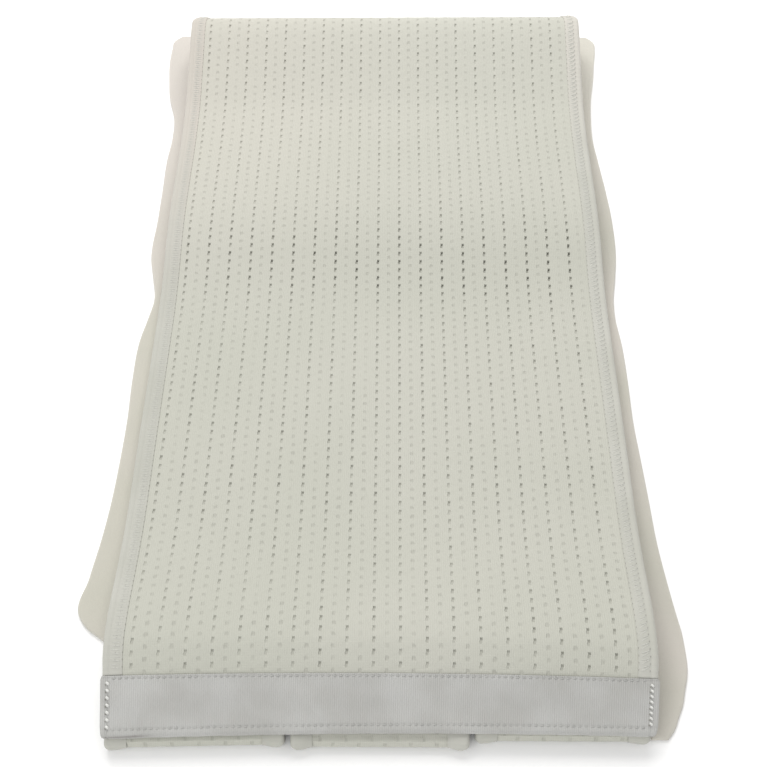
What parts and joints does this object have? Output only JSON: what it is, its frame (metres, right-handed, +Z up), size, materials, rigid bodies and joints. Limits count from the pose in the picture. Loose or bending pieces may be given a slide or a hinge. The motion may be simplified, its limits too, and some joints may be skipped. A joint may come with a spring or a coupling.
{
  "type": "folded abdominal binder",
  "caption": "Wide perforated elastic abdominal binder folded flat on a wider soft landing panel, with bound side edges, a grosgrain end tape and slit tabs folded under its near end",
  "frame": {"origin": "middle of the underside of the whole folded stack, on the surface that it lies on", "axes": "+Z up, +Y along the folded length from the taped near end to the far fold, +X across the width to the right as seen from the taped end"},
  "size_m": [0.2623, 0.4682, 0.0322],
  "materials": {
    "perforated_elastic": "cream white knitted elastic with rows of small eyelets along its length",
    "binding": "pale folded edge strip, overlocked",
    "grosgrain_tape": "light grey ribbed tape, lockstitched",
    "brushed_panel": "soft brushed pale beige cloth"
  },
  "bodies": {
    "root": {"body_panel": "perforated_elastic", "side_binding_left": "binding", "side_binding_right": "binding", "end_tape": "grosgrain_tape", "tab_left": "perforated_elastic", "tab_middle": "perforated_elastic", "tab_right": "perforated_elastic", "tab_left_left_binding": "binding", "tab_left_right_binding": "binding", "tab_middle_left_binding": "binding", "tab_middle_right_binding": "binding", "tab_right_left_binding": "binding", "tab_right_right_binding": "binding", "landing_panel": "brushed_panel"}
  },
  "joints": []
}
